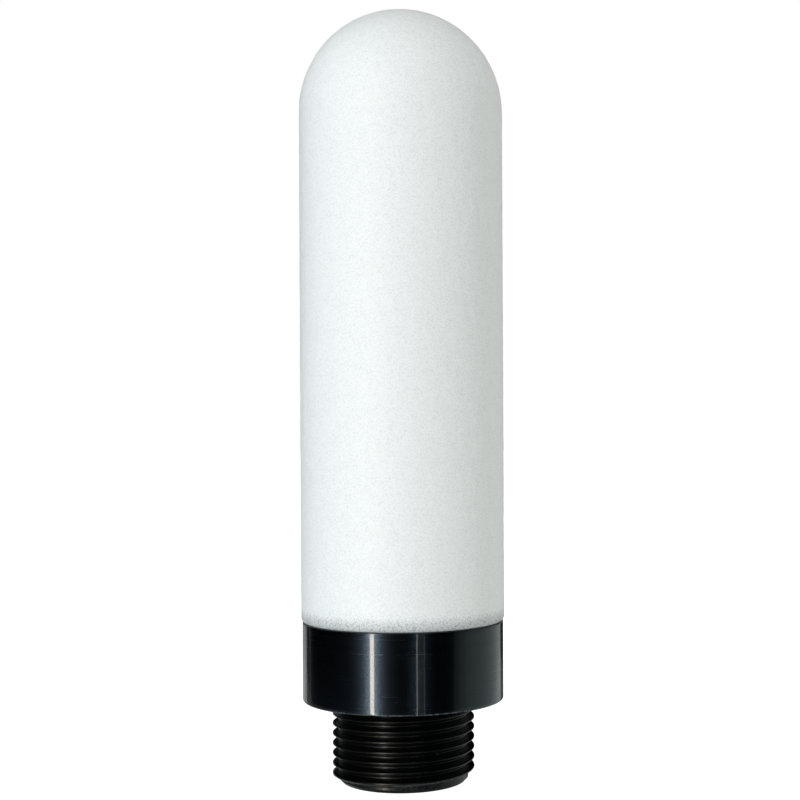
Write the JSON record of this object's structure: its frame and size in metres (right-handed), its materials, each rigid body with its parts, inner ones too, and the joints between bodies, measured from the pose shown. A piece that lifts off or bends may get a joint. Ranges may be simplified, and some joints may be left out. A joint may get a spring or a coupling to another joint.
{
  "type": "pneumatic exhaust muffler",
  "caption": "Long dome-ended cylinder of white porous plastic on a black collar with a hollow pipe-threaded spigot; quietens exhausting compressed air.",
  "frame": {"origin": "centre of the threaded spigot's flat end face, on the axis of the bore", "axes": "+Z along the axis, from the threaded spigot towards the dome; the part is round, so +X and +Y are free, and +X is where the thread's crest stands 0.8 mm above a whole number of pitches from the end face"},
  "size_m": [0.0476, 0.0476, 0.18],
  "materials": {
    "black_plastic": "black acetal, turned all over, glossy with very fine turning marks",
    "resin": "cured clear amber potting resin",
    "porous_plastic": "white sintered polyethylene grains, open and rough to the touch"
  },
  "bodies": {
    "root": {"threaded_base": "black_plastic", "potting_resin": "resin", "porous_body": "porous_plastic"}
  },
  "joints": []
}
